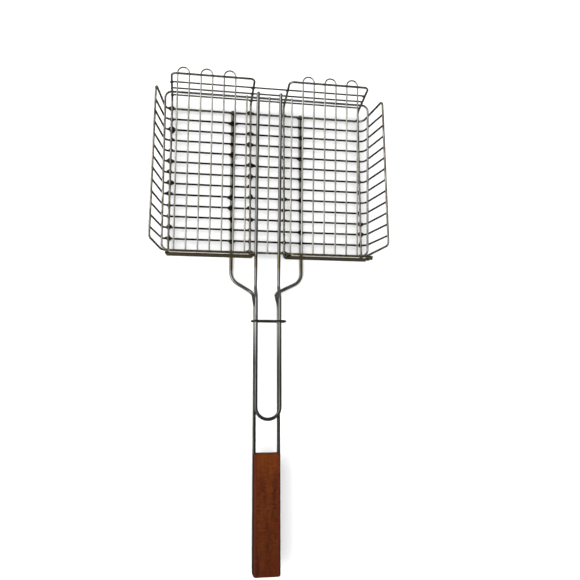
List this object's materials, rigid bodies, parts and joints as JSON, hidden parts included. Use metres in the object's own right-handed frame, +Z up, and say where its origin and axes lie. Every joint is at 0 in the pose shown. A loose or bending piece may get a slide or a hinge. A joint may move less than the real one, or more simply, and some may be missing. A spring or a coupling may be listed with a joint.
{
  "type": "grill basket",
  "caption": "Hinged wire grill basket: a splayed tray, a lid of long bars hooked into the far wall, a long wood-gripped handle and a sliding lock ring.",
  "frame": {"origin": "middle of the outline's underside, on the surface that the basket lies on", "axes": "+Y from the wooden grip to the far wall, +X to the right across the basket, +Z up out of the tray"},
  "size_m": [0.3216, 0.6738, 0.0685],
  "materials": {
    "thin_wire": "bright plated wire with brown weld marks",
    "frame_wire": "bright plated wire, lightly dulled by heat",
    "handle_rod": "bright plated rod",
    "grip_wood": "reddish brown varnished hardwood with long grain"
  },
  "bodies": {
    "basket": {"left_loop": "frame_wire", "right_loop": "frame_wire", "side_loop": "frame_wire", "floor_bar_01": "thin_wire", "floor_bar_02": "thin_wire", "floor_bar_03": "thin_wire", "floor_bar_04": "thin_wire", "floor_bar_05": "thin_wire", "floor_bar_06": "thin_wire", "floor_bar_07": "thin_wire", "floor_bar_08": "thin_wire", "floor_bar_09": "thin_wire", "floor_bar_10": "thin_wire", "floor_bar_11": "thin_wire", "floor_bar_12": "thin_wire", "far_wall_bar_1": "thin_wire", "far_wall_bar_2": "thin_wire", "far_wall_bar_3": "thin_wire", "near_left_bar_1": "thin_wire", "near_left_bar_2": "thin_wire", "near_left_bar_3": "thin_wire", "near_right_bar_1": "thin_wire", "near_right_bar_2": "thin_wire", "near_right_bar_3": "thin_wire", "main_handle_rod": "handle_rod", "wooden_grip": "grip_wood"},
    "lid": {"lid_frame": "frame_wire", "lid_hairpin_1": "thin_wire", "lid_hairpin_2": "thin_wire", "lid_hairpin_3": "thin_wire", "lid_hairpin_4": "thin_wire", "lid_hairpin_5": "thin_wire", "lid_hairpin_6": "thin_wire", "lid_centre_bar_1": "thin_wire", "lid_centre_bar_2": "thin_wire", "lid_centre_bar_3": "thin_wire", "lid_handle_loop": "handle_rod"},
    "lock": {"locking_ring": "frame_wire"}
  },
  "joints": [
    {"name": "lid_hinge", "type": "hinge", "parent": "basket", "child": "lid", "pos_m": [0, 0.31585, 0.04513], "axis": [-1, 0, 0], "range_deg": [0, 75]},
    {"name": "ring_slide", "type": "slide", "parent": "basket", "child": "lock", "axis": [0, -1, 0], "range_m": [0, 0.165]}
  ]
}
